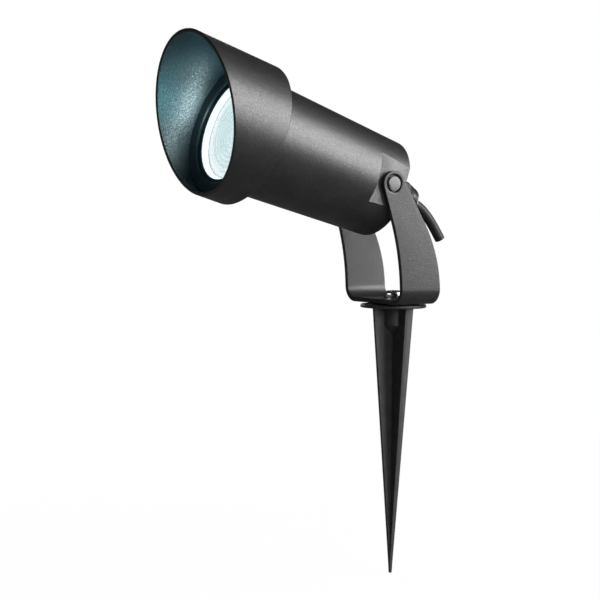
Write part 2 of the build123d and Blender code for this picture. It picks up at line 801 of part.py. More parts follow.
def terminal_screw(side, along):
    """Slotted grub screw that presses a core down in its clamp."""
    low = block_middle_y + core_radius + rubber_fit
    height = block_top_y - clamp_screw_sunk - low
    body = Cylinder(clamp_screw_radius, height, align=(Align.CENTER, Align.CENTER, Align.MIN))
    slot = Box(clamp_screw_slot_width, 2 * clamp_screw_radius + beyond, 2 * clamp_screw_slot_depth)
    body -= Pos(0, 0, height) * slot
    return Pos(side * block_width / 4, low, along) * (Rot(X=-90) * body)


keep_head("block_screw", Pos(0, block_screw_seat, block_middle) * (Rot(X=-90) * pan_screw(block_screw_length)))
keep_head("terminal_block", terminal_block())
keep_head("terminal_clamps", [terminal_clamp(along) for along in clamp_positions])
keep_head("terminal_screws", [terminal_screw(side, along) for along in clamp_positions for side in (-1, 1)])


# ---------------------------------------------------------------- wiring inside the housing
def core(points):
    """Insulated core swept along straight runs joined by arcs."""
    path = FilletPolyline(*points, radius=core_bend_radius)
    return sweep(Plane(path @ 0, z_dir=path % 0) * Circle(core_radius), path=path)


def around(radius, angle, along):
    """Point at a radius and an angle about the head's axis."""
    turn = math.radians(angle)
    return (radius * math.cos(turn), radius * math.sin(turn), along)


core_route_radius = holder_radius + core_radius + core_holder_gap
core_entry = block_width / 2 - core_insertion
core_approach = block_width / 2 + core_side_reach
core_level = cable_end + core_bend_radius + core_lead
lead_level = (bridge_plate_front + holder_body_rear) / 2
lead_end_radius = holder_base_radius + rubber_fit


def supply_core(start_angle, route_angle, along):
    """Core from the cable's end, out to the housing's wall, forward and into its clamp."""
    return core([
        around(core_spread, start_angle, cable_end),
        around(core_spread, start_angle, core_level),
        around(core_route_radius, route_angle, core_level),
        around(core_route_radius, route_angle, along),
        (core_approach, block_middle_y, along),
        (core_entry, block_middle_y, along),
    ])


def lamp_lead(route_angle, along):
    """Core from its clamp back along the housing's wall to the lampholder's base."""
    return core([
        (-core_entry, block_middle_y, along),
        (-core_approach, block_middle_y, along),
        around(core_route_radius, route_angle, along),
        around(core_route_radius, route_angle, lead_level),
        around(lead_end_radius, route_angle, lead_level),
    ])


keep_head("live_core", supply_core(live_start_angle, live_route_angle, clamp_positions[0]))
keep_head("neutral_core", supply_core(neutral_start_angle, neutral_route_angle, clamp_positions[1]))
# the lamp's leads mirror the supply cores on the block's other side
keep_head("lamp_lead_live", lamp_lead(180 - live_route_angle, clamp_positions[0]))
keep_head("lamp_lead_neutral", lamp_lead(180 - neutral_route_angle, clamp_positions[1]))

earth_tag_low = rear_wall_front + earth_pillar_height
earth_tag_high = earth_tag_low + earth_tag_thickness
earth_place = Pos(earth_screw_x, earth_screw_y, 0) * Rot(Z=earth_screw_angle)


def earth_tag():
    """Ring tag under the earth screw, with a tongue that the core is crimped on."""
    tongue = block(2 * earth_tag_radius, 2 * core_radius, earth_tag_low, earth_tag_high)
    body = disc(earth_tag_radius, earth_tag_low, earth_tag_high) + Pos(-earth_tag_radius, 0, 0) * tongue
    body -= disc(small_hole_radius, earth_tag_low - beyond, earth_tag_high + beyond)
    return earth_place * body


earth_level = earth_tag_high + core_radius
earth_core_end = earth_screw_reach - small_head_radius - earth_crimp_gap
keep_head("earth_tag", earth_tag())
keep_head("earth_screw", earth_place * Pos(0, 0, earth_tag_high) * pan_screw(small_screw_length))
keep_head("earth_core", core([
    around(core_spread, earth_start_angle, cable_end),
    around(core_spread, earth_start_angle, earth_level),
    around(earth_core_end, earth_screw_angle, earth_level),
]))


# ---------------------------------------------------------------- cable gland
def gland_body():
    """Thread through the rear wall, hexagon outside it and a neck that takes the seal."""
    flange_high = housing_rear - gland_washer_thickness
    body = hexagon(gland_flange_flats, dome_front, flange_high)
    body += disc(gland_thread_radius, dome_front + beyond, cable_end)
    body += disc(gland_neck_radius, gland_neck_end, dome_front + beyond)
    body -= disc(cord_radius + gland_bore_gap, gland_neck_end - beyond, cable_end + beyond)
    return body - disc(seal_radius + rubber_fit, gland_neck_end - beyond, seal_high)


def gland_locknut():
    high = rear_wall_front + locknut_length
    body = hexagon(locknut_flats, rear_wall_front, high)
    body &= disc(locknut_flats / 2 + locknut_corner, rear_wall_front - beyond, high + beyond)
    return body - disc(gland_thread_radius + rubber_fit, rear_wall_front - beyond, high + beyond)


def gland_dome_nut():
    """Hexagonal nut that tapers to a rounded nose, with a mouth that lets the cord bend."""
    high = dome_front - dome_gap
    barrel_end = dome_front - dome_barrel_length
    taper_end = barrel_end - dome_taper_length
    corner_radius = dome_flats / 2 + dome_corner
    mouth_radius = cord_radius + dome_mouth_gap
    nose_radius = mouth_radius + dome_nose_wall
    middle_radius = nose_radius + dome_nose_bulge * (dome_shoulder_radius - nose_radius)
    middle_height = dome_nose + dome_nose_bulge_height * (taper_end - dome_nose)
    outline = [
        Line((0, high), (corner_radius, high)),
        Line((corner_radius, high), (corner_radius, barrel_end)),
        Line((corner_radius, barrel_end), (dome_shoulder_radius, taper_end)),
        ThreePointArc((dome_shoulder_radius, taper_end), (middle_radius, middle_height),
                      (nose_radius, dome_nose)),
        Line((nose_radius, dome_nose), (0, dome_nose)),
        Line((0, dome_nose), (0, high)),
    ]
    body = revolve(Plane.XZ * make_face(Wire(outline)), Axis.Z)
    body &= hexagon(dome_flats, dome_nose - beyond, high + beyond)
    neck_bore = gland_neck_radius + rubber_fit
    return body - turned([
        (0, high + beyond), (neck_bore, high + beyond), (neck_bore, gland_neck_end - dome_neck_gap),
        (seal_radius, seal_low - dome_neck_gap), (cord_radius + dome_throat_gap, cord_start),
        (mouth_radius, dome_nose - rubber_fit), (0, dome_nose - rubber_fit),
    ])


keep_head("gland_body", gland_body())
keep_head("gland_washer", ring(gland_washer_radius, gland_thread_radius + gland_hole_gap,
                               housing_rear - gland_washer_thickness, housing_rear))
keep_head("gland_locknut", gland_locknut())
keep_head("gland_seal", ring(seal_radius, cord_radius + rubber_fit, seal_low, seal_high))
keep_head("gland_dome_nut", gland_dome_nut())
keep_head("inner_cable", disc(cord_radius, cord_start, cable_end))


# ---------------------------------------------------------------- cord
def cord_path():
    """Straight runs joined by arcs as large as the shorter of the two runs allows."""
    corners = [Vector(0, up, along) for along, up in cord_points]
    radii = []
    for before, here, after in zip(corners, corners[1:], corners[2:]):
        turn = math.radians((here - before).get_angle(after - here))
        shorter = min((here - before).length, (after - here).length)
        radii.append(cord_arc_share * shorter / math.tan(turn / 2))
    print("cord radii", [round(radius, 1) for radius in radii])
    return FilletPolyline(*corners, radius=radii)


def supply_cord():
    path = cord_path()
    body = sweep(Plane(path @ 0, z_dir=path % 0) * Circle(cord_radius), path=path)
    section = math.pi * cord_radius ** 2
    print("cord length", round(path.length, 1), "volume over section", round(body.volume / section, 1))
    return body


keep_head("supply_cord", supply_cord())


# ---------------------------------------------------------------- write one file per node
os.makedirs("parts", exist_ok=True)
for name, shape in parts.items():
    export_step(shape, f"parts/{name}.step")
print(len(parts), "nodes")
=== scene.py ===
import bpy
import json
import math
from mathutils import Matrix, Vector


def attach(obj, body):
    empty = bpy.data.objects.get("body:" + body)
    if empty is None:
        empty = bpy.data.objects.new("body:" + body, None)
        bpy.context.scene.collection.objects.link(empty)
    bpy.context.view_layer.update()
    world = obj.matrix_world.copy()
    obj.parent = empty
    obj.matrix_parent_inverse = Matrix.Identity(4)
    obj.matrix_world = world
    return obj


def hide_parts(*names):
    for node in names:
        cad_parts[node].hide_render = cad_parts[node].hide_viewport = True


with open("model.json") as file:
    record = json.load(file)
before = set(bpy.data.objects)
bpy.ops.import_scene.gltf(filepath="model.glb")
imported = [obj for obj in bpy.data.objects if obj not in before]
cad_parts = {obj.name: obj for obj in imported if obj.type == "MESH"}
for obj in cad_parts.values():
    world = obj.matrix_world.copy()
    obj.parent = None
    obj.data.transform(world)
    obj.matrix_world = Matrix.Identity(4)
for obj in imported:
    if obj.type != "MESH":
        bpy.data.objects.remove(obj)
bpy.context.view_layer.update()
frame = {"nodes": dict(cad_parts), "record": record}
scene = bpy.context.scene
mm = 0.001
print("frame loaded,", len(frame["nodes"]), "nodes")

# the head leans back by its tilt about the pivot; its own Z runs forward out of the lamp
headPlace = {"pivot": Vector((0.0, -23.2, 81.94)) * mm, "tilt": math.radians(18.35)}
headForward = Vector((0.0, -math.cos(headPlace["tilt"]), math.sin(headPlace["tilt"])))
headUp = Vector((0.0, math.sin(headPlace["tilt"]), math.cos(headPlace["tilt"])))
headTurn = Matrix((Vector((1, 0, 0)), headUp, headForward)).transposed()
headMatrix = Matrix.Translation(headPlace["pivot"]) @ headTurn.to_4x4()
toHead = headMatrix.inverted()


def headPoint(x, up, along):
    return headMatrix @ (Vector((x, up, along)) * mm)


# the camera, at the photograph's angle and framing
photoCamera = {
    "azimuth": math.radians(56.702),
    "elevation": math.radians(3.201),
    "roll": math.radians(0.552),
    "distance": 1.68663,
    "right": -0.061542,     # how far the lens sits beside and above the flange's top
    "up": 0.002583,
    "aimHeight": 2.3 * mm,
    "sensor": 36.0,
    "lens": 153.33,
}


def addCamera(setup):
    azimuth, elevation, roll = setup["azimuth"], setup["elevation"], setup["roll"]
    back = Vector((math.sin(azimuth) * math.cos(elevation),
                   -math.cos(azimuth) * math.cos(elevation), math.sin(elevation)))
    level = Vector((math.cos(azimuth), math.sin(azimuth), 0.0))
    upright = back.cross(level)
    right = math.cos(roll) * level + math.sin(roll) * upright
    up = math.cos(roll) * upright - math.sin(roll) * level
    place = back * setup["distance"] + right * setup["right"] + up * setup["up"]
    place.z += setup["aimHeight"]
    data = bpy.data.cameras.new("photoCamera")
    data.sensor_width = setup["sensor"]
    data.lens = setup["lens"]
    data.clip_start, data.clip_end = 0.05, 60.0
    camera = bpy.data.objects.new("photoCamera", data)
    scene.collection.objects.link(camera)
    turn = Matrix((right, up, back)).transposed()
    camera.matrix_world = Matrix.Translation(place) @ turn.to_4x4()
    scene.camera = camera


addCamera(photoCamera)
print("camera set")


# colours are written as seen on screen, and this turns them to the linear values a shader wants
def srgb(code):
    values = [int(code[i:i + 2], 16) / 255 for i in (1, 3, 5)]
    linear = [v / 12.92 if v <= 0.04045 else ((v + 0.055) / 1.055) ** 2.4 for v in values]
    return (*linear, 1.0)


# a Mix node has its sockets by number: 0 is the factor, 2 and 3 mix values, 6 and 7 mix colours
def addNode(tree, kind, inputs=None, stops=None, **settings):
    node = tree.nodes.new(kind)
    for key, value in settings.items():
        setattr(node, key, value)
    for key, value in (inputs or {}).items():      # an output socket is linked, anything else is a value
        if isinstance(value, bpy.types.NodeSocket):
            tree.links.new(value, node.inputs[key])
        else:
            node.inputs[key].default_value = value
    for index, (position, colour) in enumerate(stops or []):
        elements = node.color_ramp.elements
        stop = elements[index] if index < 2 else elements.new(position)
        stop.position, stop.color = position, colour
    return node


def newMaterial(name, look):
    material = bpy.data.materials.new(name)
    material.use_nodes = True
    shader = material.node_tree.nodes["Principled BSDF"]
    shader.inputs["Base Color"].default_value = srgb(look["colour"])
    for key, value in look.get("sockets", {}).items():
        shader.inputs[key].default_value = value
    return material, material.node_tree, shader


noiseSpan = {"cloud": (0.35, 0.68), "grain": (0.3, 0.7)}       # the part of a noise's range that is used


def grainedMaterial(name, look):
    # colour drifts between two shades in broad clouds, the grain breaks the gloss and lifts the surface
    material, tree, shader = newMaterial(name, look)
    place = addNode(tree, "ShaderNodeTexCoord").outputs["Object"]
    cloud = addNode(tree, "ShaderNodeTexNoise", {
        "Vector": place, "Scale": 1 / (look["cloud"] * mm), "Detail": 3.0})
    grain = addNode(tree, "ShaderNodeTexNoise", {
        "Vector": place, "Scale": 1 / (look["grain"] * mm), "Detail": 2.0, "Roughness": 0.6})
    start, end = noiseSpan["cloud"]
    shades = addNode(tree, "ShaderNodeValToRGB", {"Fac": cloud.outputs["Fac"]},
                     stops=[(start, srgb(look["colour"])), (end, srgb(look["worn"]))])
    tree.links.new(shades.outputs["Color"], shader.inputs["Base Color"])
    (start, end), (low, high) = noiseSpan["grain"], look["roughness"]
    gloss = addNode(tree, "ShaderNodeMapRange", {
        "Value": grain.outputs["Fac"], "From Min": start, "From Max": end, "To Min": low, "To Max": high})
    tree.links.new(gloss.outputs["Result"], shader.inputs["Roughness"])
    lift = addNode(tree, "ShaderNodeBump", {"Height": grain.outputs["Fac"], "Strength": look["bump"],
                                            "Distance": look["depth"] * mm})
    tree.links.new(lift.outputs["Normal"], shader.inputs["Normal"])
    return material


# the cord leaves the gland, bends down and ends in a square cut; points as in the part's own route
cordRoute = {
    "points": [(0.0, 6.70, 72.02), (0.0, 13.44, 69.79), (0.0, 19.83, 66.19),
               (0.0, 25.34, 61.52), (0.0, 31.96, 53.21), (0.0, 37.45, 44.65)],
    "radius": 3.4,
    "length": 42.4,
}

# rubber sheath, extruded and chalked with talc: deep black with a broad dull sheen
sheathRubber = grainedMaterial("extrudedRubberSheath", {
    "colour": "#121212", "worn": "#1A1A19", "cloud": 9.0, "grain": 0.5, "roughness": (0.44, 0.56),
    "bump": 0.4, "depth": 0.03, "sockets": {"Specular IOR Level": 0.35}})


def addCord(route):
    data = bpy.data.curves.new("supplyCordSheath", "CURVE")
    data.dimensions = "3D"
    spline = data.splines.new("NURBS")
    spline.points.add(len(route["points"]) - 1)
    for point, place in zip(spline.points, route["points"]):
        point.co = (*(Vector(place) * mm), 1.0)
    spline.order_u = 3
    spline.use_endpoint_u = True
    spline.resolution_u = 24
    data.bevel_depth = route["radius"] * mm
    data.bevel_resolution = 8
    data.use_fill_caps = True
    data.materials.append(sheathRubber)
    cord = bpy.data.objects.new("supplyCordSheath", data)
    scene.collection.objects.link(cord)
    return cord


def finishPiece(piece, name, finishes, body, smooth=30):
    piece.name = name
    piece.data.name = name
    piece.data.materials.clear()
    for finish in finishes:
        piece.data.materials.append(finish)
    bpy.ops.object.select_all(action="DESELECT")
    piece.select_set(True)
    bpy.context.view_layer.objects.active = piece
    bpy.ops.object.shade_smooth_by_angle(angle=math.radians(smooth))
    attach(piece, body)
    return piece


pole = 0.02             # radius (mm) where a turned face closes over its middle
weldDistance = 0.004    # mm


def turnPiece(profile, sides, matrix=headMatrix, closed=False):
    # one ring of edges is extruded and resized along the profile, as a lathe would cut it
    bpy.ops.object.select_all(action="DESELECT")
    radius, along = profile[0]
    bpy.ops.mesh.primitive_circle_add(vertices=sides, radius=radius * mm, location=(0, 0, along * mm),
                                      enter_editmode=True)
    for nextRadius, nextAlong in profile[1:]:
        bpy.ops.mesh.extrude_region_move(TRANSFORM_OT_translate={"value": (0, 0, (nextAlong - along) * mm)})
        scale = nextRadius / radius
        bpy.ops.transform.resize(value=(scale, scale, 1))
        radius, along = nextRadius, nextAlong
    bpy.ops.mesh.select_all(action="SELECT")
    bpy.ops.mesh.remove_doubles(threshold=weldDistance * mm)
    if not closed:
        bpy.ops.mesh.select_all(action="DESELECT")
        bpy.ops.mesh.select_non_manifold()
        bpy.ops.mesh.edge_face_add()
    bpy.ops.mesh.select_all(action="SELECT")
    bpy.ops.mesh.normals_make_consistent(inside=False)
    bpy.ops.object.mode_set(mode="OBJECT")
    piece = bpy.context.object
    bpy.ops.object.transform_apply(location=True, rotation=True, scale=True)
    piece.data.transform(matrix)
    return piece


cord = addCord(cordRoute)
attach(cord, "head")
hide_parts("supply_cord")

# the three cores in the cut: insulation rings round bright copper
cutPlace = Vector(cordRoute["points"][-1]) * mm
cutAlong = (cutPlace - Vector(cordRoute["points"][-2]) * mm).normalized()
cutSide = Vector((1, 0, 0))
cutTurn = Matrix((cutSide, cutAlong.cross(cutSide), cutAlong)).transposed()
cutMatrix = Matrix.Translation(cutPlace) @ cutTurn.to_4x4()
cutCore = {
    "radius": 1.12, "edge": 0.08, "proud": 0.15, "buried": 0.6,
    "reach": 1.42,          # from the cord's middle to each core's middle
    "strand": 0.62, "seam": 0.06,
    "crown": [(0.97, 0.10), (0.8, 0.16)],       # shares of the strand's radius, and their heights
    "top": 0.18, "sides": 24,
    "turns": {"live": 90, "neutral": 210, "earth": 330},
}
coreLooks = {
    # PVC insulation, extruded: nearly even colour and a soft shine
    "live": {"colour": "#58311F", "worn": "#633A25", "slot": "brown_insulation"},
    "neutral": {"colour": "#1D4C9C", "worn": "#2757AA", "slot": "blue_insulation"},
    "earth": {"colour": "#6A971C", "worn": "#78A626", "slot": "earth_insulation"},
}
# drawn copper, just cut: salmon pink with fine cutting marks
cutCopper = grainedMaterial("cutCopperStrands", {
    "colour": "#B4694C", "worn": "#C98563", "cloud": 0.4, "grain": 0.12, "roughness": (0.25, 0.45),
    "bump": 0.6, "depth": 0.05, "sockets": {"Metallic": 1.0}})


def insulation(name, look):
    return grainedMaterial(name, {
        "colour": look["colour"], "worn": look["worn"], "cloud": 4.0, "grain": 0.3, "roughness": (0.3, 0.42),
        "bump": 0.1, "depth": 0.01})


coreMaterials = {name: insulation(name + "CorePvc", look) for name, look in coreLooks.items()}


def addCutCore(name, shape):
    outer, edge, proud = shape["radius"], shape["edge"], shape["proud"]
    strand, seam = shape["strand"], shape["seam"]
    turn = Matrix.Rotation(math.radians(shape["turns"][name]), 4, "Z")
    place = cutMatrix @ turn @ Matrix.Translation((shape["reach"] * mm, 0, 0))
    profile = [(outer, -shape["buried"]), (outer, proud - edge), (outer - edge, proud),
               (strand + seam, proud), (strand, proud - seam)]
    profile += [(strand * share, proud + height) for share, height in shape["crown"]]
    core = turnPiece(profile + [(pole, proud + shape["top"])], shape["sides"], place)
    finishPiece(core, name + "CoreEnd", [coreMaterials[name], cutCopper], "head")
    for face in core.data.polygons:
        away = face.center - place.translation
        reach = (away - away.dot(cutAlong) * cutAlong).length
        copper = reach < strand * 0.995 * mm and away.dot(cutAlong) > 0
        face.material_index = 1 if copper else 0
    return core


cores = [addCutCore(name, cutCore) for name in cutCore["turns"]]
print("cord and its cut end made")


# materials of the metal and plastic pieces, one for each finish in the record
materials = {
    # fine-texture powder coat on die-cast aluminium: baked grains break the highlight into soft speckle;
    # they are drawn 0.7 mm across, coarser than the real 0.3, so that they show
    "black_powder_coat": grainedMaterial("fineTexturePowderCoat", {
        "colour": "#18181A", "worn": "#1E1E1F", "cloud": 14.0, "grain": 0.7, "roughness": (0.25, 0.52),
        "bump": 1.0, "depth": 0.115, "sockets": {"Specular IOR Level": 0.62}}),
    # the coat inside the shroud lies thicker and coarser, and the grazing lamplight picks out its grains
    "innerCoat": grainedMaterial("coarseTexturePowderCoat", {
        "colour": "#18181A", "worn": "#1E1E1F", "cloud": 14.0, "grain": 1.0, "roughness": (0.24, 0.54),
        "bump": 1.0, "depth": 0.16, "sockets": {"Specular IOR Level": 0.62}}),
    # the same coat on the folded plate, baked a little duller
    "stirrupCoat": grainedMaterial("dullTexturePowderCoat", {
        "colour": "#18181A", "worn": "#1E1E1F", "cloud": 14.0, "grain": 0.8, "roughness": (0.28, 0.52),
        "bump": 1.0, "depth": 0.12, "sockets": {"Specular IOR Level": 0.45}}),
    # glass-filled nylon, injection moulded: dull charcoal with a faint flow mottle
    "spike_nylon": grainedMaterial("mouldedGlassFilledNylon", {
        "colour": "#1D1D1E", "worn": "#262626", "cloud": 7.0, "grain": 0.7, "roughness": (0.40, 0.54),
        "bump": 0.8, "depth": 0.09, "sockets": {"Specular IOR Level": 0.42}}),
    # plain nylon washer stock, stamped: black and slightly waxy
    "black_nylon": grainedMaterial("stampedNylonWasher", {
        "colour": "#101011", "worn": "#161617", "cloud": 6.0, "grain": 0.4, "roughness": (0.4, 0.5),
        "bump": 0.15, "depth": 0.015}),
    # polyamide 6, injection moulded: satin black, smooth enough for a crisp highlight
    "black_plastic": grainedMaterial("mouldedPolyamide", {
        "colour": "#101011", "worn": "#161617", "cloud": 8.0, "grain": 0.5, "roughness": (0.20, 0.30),
        "bump": 0.3, "depth": 0.015, "sockets": {"Specular IOR Level": 0.55}}),
    # silicone rubber, compression moulded: soft black, almost no shine
    "black_silicone": grainedMaterial("mouldedSilicone", {
        "colour": "#0C0C0D", "worn": "#111112", "cloud": 6.0, "grain": 0.4, "roughness": (0.5, 0.62),
        "bump": 0.15, "depth": 0.015, "sockets": {"Specular IOR Level": 0.35}}),
    "cord_rubber": sheathRubber,
    # bright zinc plate with blue passivation on steel: a cool mirror with a faint haze
    "zinc_steel": grainedMaterial("brightZincPlate", {
        "colour": "#B9BDC2", "worn": "#CDD0D3", "cloud": 3.0, "grain": 0.35, "roughness": (0.14, 0.24),
        "bump": 0.06, "depth": 0.01, "sockets": {"Metallic": 1.0}}),
    # turned brass, left plain: warm yellow, with a fine tool haze
    "brass": grainedMaterial("turnedBrass", {
        "colour": "#B8923F", "worn": "#CBA652", "cloud": 4.0, "grain": 0.3, "roughness": (0.2, 0.34),
        "bump": 0.1, "depth": 0.01, "sockets": {"Metallic": 1.0}}),
    # nickel-plated brass, spun and rolled: warm grey mirror
    "nickel": grainedMaterial("nickelPlate", {
        "colour": "#BDB8AE", "worn": "#CBC6BD", "cloud": 4.0, "grain": 0.3, "roughness": (0.16, 0.26),
        "bump": 0.05, "depth": 0.01, "sockets": {"Metallic": 1.0}}),
    # PBT plastic, injection moulded: clean white with a low shine
    "white_plastic": grainedMaterial("mouldedWhitePbt", {
        "colour": "#DEDDD8", "worn": "#E6E5E1", "cloud": 10.0, "grain": 0.4, "roughness": (0.34, 0.46),
        "bump": 0.12, "depth": 0.012}),
    # white solder mask, screened on aluminium board: flat white, slightly glassy
    "led_board": grainedMaterial("whiteSolderMask", {
        "colour": "#E4E5E1", "worn": "#EBECE9", "cloud": 6.0, "grain": 0.25, "roughness": (0.26, 0.34),
        "bump": 0.05, "depth": 0.01}),
    # glazed porcelain, pressed and fired: cream white under a wet glaze
    "porcelain": grainedMaterial("glazedPorcelain", {
        "colour": "#DCD9D0", "worn": "#E6E3DA", "cloud": 9.0, "grain": 1.6, "roughness": (0.10, 0.16),
        "bump": 0.10, "depth": 0.02, "sockets": {"Coat Weight": 0.4, "Coat Roughness": 0.05}}),
    "brown_insulation": coreMaterials["live"],
    "blue_insulation": coreMaterials["neutral"],
    "earth_insulation": coreMaterials["earth"],
}
print("materials made")


# toughened soda-lime glass: clear with a slight green-blue tint, and left very slightly wavy by the oven
clearGlass = grainedMaterial("toughenedClearGlass", {
    "colour": "#F4FCFC", "worn": "#F9FEFE", "cloud": 16.0, "grain": 14.0, "roughness": (0.0, 0.012),
    "bump": 0.3, "depth": 0.03, "sockets": {"IOR": 1.5, "Transmission Weight": 1.0}})

# prismed polycarbonate lens over the lit lamp: white-hot rim, pale blue middle under stipple and rings
lensLook = {
    "rim": 31.8, "groove": 30.6, "dome": 27.35, "back": 100.0, "rimFront": 102.0, "front": 103.0,
    "edge": 0.3, "grooveSlope": 0.4, "grooveDepth": 0.6, "grooveInner": 0.5,
    "rings": 6, "ringDepth": 0.16, "ringEdge": 0.35, "ringSlope": 0.5, "ringWall": 0.12, "ringLift": 0.05,
    "domeRise": 0.55, "ringsEnd": 6.0, "flat": 5.6, "sides": 128,
    "middleColour": "#DCEDEE", "ringColour": "#FFFFFF", "edgeColour": "#9FB9C6", "glow": 1.14,
    "stipple": 1.0, "arcPitch": 3.1, "arcBreak": 9.0,
}


def lensMaterial(look):
    material, tree, shader = newMaterial("litPrismedPolycarbonate", {
        "colour": "#4A5254", "sockets": {"Roughness": 0.35, "Specular IOR Level": 0.4,
                                         "Emission Strength": look["glow"]}})
    place = addNode(tree, "ShaderNodeTexCoord").outputs["Object"]
    centred = addNode(tree, "ShaderNodeMapping", {"Vector": place, "Location": headPlace["pivot"],
                                                  "Rotation": headTurn.to_euler()}, vector_type="TEXTURE")
    parts = addNode(tree, "ShaderNodeSeparateXYZ", {"Vector": centred.outputs["Vector"]})
    flat = addNode(tree, "ShaderNodeCombineXYZ", {"X": parts.outputs["X"], "Y": parts.outputs["Y"]})
    reach = addNode(tree, "ShaderNodeVectorMath", {0: flat.outputs["Vector"]}, operation="LENGTH")
    share = addNode(tree, "ShaderNodeMath", {0: reach.outputs["Value"], 1: look["rim"] * mm},
                    operation="DIVIDE")
    middle, ring, edge = srgb(look["middleColour"]), srgb(look["ringColour"]), srgb(look["edgeColour"])
    # from the middle outwards: white core, pale field, white ring with a fine dark line, white rim, dim edge
    glow = addNode(tree, "ShaderNodeValToRGB", {"Fac": share.outputs["Value"]}, stops=[
        (0.0, ring), (0.18, middle), (0.80, middle), (0.85, ring), (0.862, edge), (0.88, ring),
        (0.965, ring), (0.985, edge), (1.0, edge)])
    spots = addNode(tree, "ShaderNodeTexVoronoi", {"Vector": place, "Scale": 1 / (look["stipple"] * mm)})
    speckle = addNode(tree, "ShaderNodeMapRange", {"Value": spots.outputs["Distance"], "From Min": 0.1,
                                                   "From Max": 0.7, "To Min": 1.08, "To Max": 0.8})
    # the lamp's chips show through the prisms as broken white arcs
    turns = addNode(tree, "ShaderNodeMath", {
        0: reach.outputs["Value"], 1: 2 * math.pi / (look["arcPitch"] * mm)}, operation="MULTIPLY")
    wave = addNode(tree, "ShaderNodeMath", {0: turns.outputs["Value"]}, operation="SINE")
    broken = addNode(tree, "ShaderNodeTexNoise", {
        "Vector": place, "Scale": 1 / (look["arcBreak"] * mm), "Detail": 1.0})
    arcs = addNode(tree, "ShaderNodeMath", {0: wave.outputs["Value"], 1: broken.outputs["Fac"]},
                   operation="MULTIPLY")
    arcShare = addNode(tree, "ShaderNodeMapRange", {"Value": arcs.outputs["Value"], "From Min": 0.15,
                                                    "From Max": 0.5, "To Min": 0.0, "To Max": 0.9})
    shown = addNode(tree, "ShaderNodeMix", {
        "Factor": arcShare.outputs["Result"], 6: glow.outputs["Color"], 7: ring}, data_type="RGBA")
    lit = addNode(tree, "ShaderNodeVectorMath", {0: shown.outputs[2], "Scale": speckle.outputs["Result"]},
                  operation="SCALE")
    tree.links.new(lit.outputs["Vector"], shader.inputs["Emission Color"])
    lift = addNode(tree, "ShaderNodeBump", {"Height": spots.outputs["Distance"], "Strength": 0.5,
                                            "Distance": 0.15 * mm})
    tree.links.new(lift.outputs["Normal"], shader.inputs["Normal"])
    return material


def addLens(look):
    # rim, a groove inside it, then rings of shallow prisms up to the flat middle
    rim, groove, dome, edge = look["rim"], look["groove"], look["dome"], look["edge"]
    back, rimFront, front = look["back"], look["rimFront"], look["front"]
    grooveFloor = rimFront - look["grooveDepth"]
    profile = [(pole, back), (rim - edge, back), (rim, back + edge), (rim, rimFront - edge),
               (rim - edge, rimFront), (groove, rimFront), (groove - look["grooveSlope"], grooveFloor),
               (dome + look["grooveInner"], grooveFloor), (dome, rimFront)]
    pitch = (dome - look["ringsEnd"]) / look["rings"]
    for ring in range(look["rings"]):
        radius = dome - ring * pitch
        rise = front - look["domeRise"] * (radius / dome) ** 2
        profile += [(radius - look["ringEdge"], rise),
                    (radius - pitch + look["ringSlope"], rise + look["ringLift"] - look["ringDepth"]),
                    (radius - pitch + look["ringWall"], rise - look["ringDepth"])]
    profile += [(look["flat"], front), (pole, front)]
    lens = turnPiece(profile, look["sides"])
    return finishPiece(lens, "prismedLampLens", [lensMaterial(look)], "head", smooth=20)


lens = addLens(lensLook)
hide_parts("lamp_lens")


def paintedSpillLightMaterial(look):
    # satin white plastic with the lamp's light painted on as emission: painted light, a little uneven,
    # standing for the light the prisms throw
    material, tree, shader = newMaterial("satinPlasticPaintedLampLight", look)
    place = addNode(tree, "ShaderNodeTexCoord").outputs["Object"]
    patches = addNode(tree, "ShaderNodeTexNoise", {
        "Vector": place, "Scale": 1 / (look["patch"] * mm), "Detail": 2.0})
    glow = addNode(tree, "ShaderNodeValToRGB", {"Fac": patches.outputs["Fac"]},
                   stops=[(0.35, srgb(look["dim"])), (0.6, srgb(look["bright"]))])
    tree.links.new(glow.outputs["Color"], shader.inputs["Emission Color"])
    return material


# painted light: the dim and bright emission colours stand for the lamp's light falling on the plastic
paintedSpillLight = paintedSpillLightMaterial({"colour": "#F4FBFC", "dim": "#EFFAFC", "bright": "#FFFFFF", "patch": 5.0,
                            "sockets": {"Roughness": 0.5, "Emission Strength": 1.0}})

# the glass has its edge ground, and on its back past the lens the lamp's spilled light is painted on as a
# glowing ring
glassLook = {"radius": 36.35, "back": 104.65, "front": 107.6, "edge": 0.3,
             "paintedSpillInner": 33.4, "paintedSpillOuter": 36.05, "sides": 128}


def addGlass(look):
    radius, edge, back, front = look["radius"], look["edge"], look["back"], look["front"]
    glass = turnPiece([(pole, back), (look["paintedSpillInner"], back), (look["paintedSpillOuter"], back),
                       (radius, back + edge), (radius, front - edge), (radius - edge, front), (pole, front)],
                      look["sides"])
    finishPiece(glass, "toughenedFrontGlass", [clearGlass, paintedSpillLight], "head")
    # the back of the glass outside the lens gets the painted lamp light
    for face in glass.data.polygons:
        place = toHead @ face.center / mm
        onBack = abs(place.z - back) < 0.01
        if onBack and math.hypot(place.x, place.y) > look["paintedSpillInner"]:
            face.material_index = 1
    return glass


glass = addGlass(glassLook)
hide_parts("front_glass")

# a thin white collar from the lens rim forward to the glass, with that spilled light painted on it as a glow
collarLook = {"rear": (31.95, 101.95), "front": (33.62, 104.4), "wall": 0.15, "sides": 128}


def addCollar(look):
    (rearRadius, rear), (frontRadius, front), wall = look["rear"], look["front"], look["wall"]
    collar = turnPiece([(rearRadius, rear), (frontRadius, front), (frontRadius - wall, front + wall),
                        (rearRadius - wall, rear + wall), (rearRadius, rear)],
                       look["sides"], closed=True)
    finishPiece(collar, "litLampCollar", [paintedSpillLight], "head")


addCollar(collarLook)

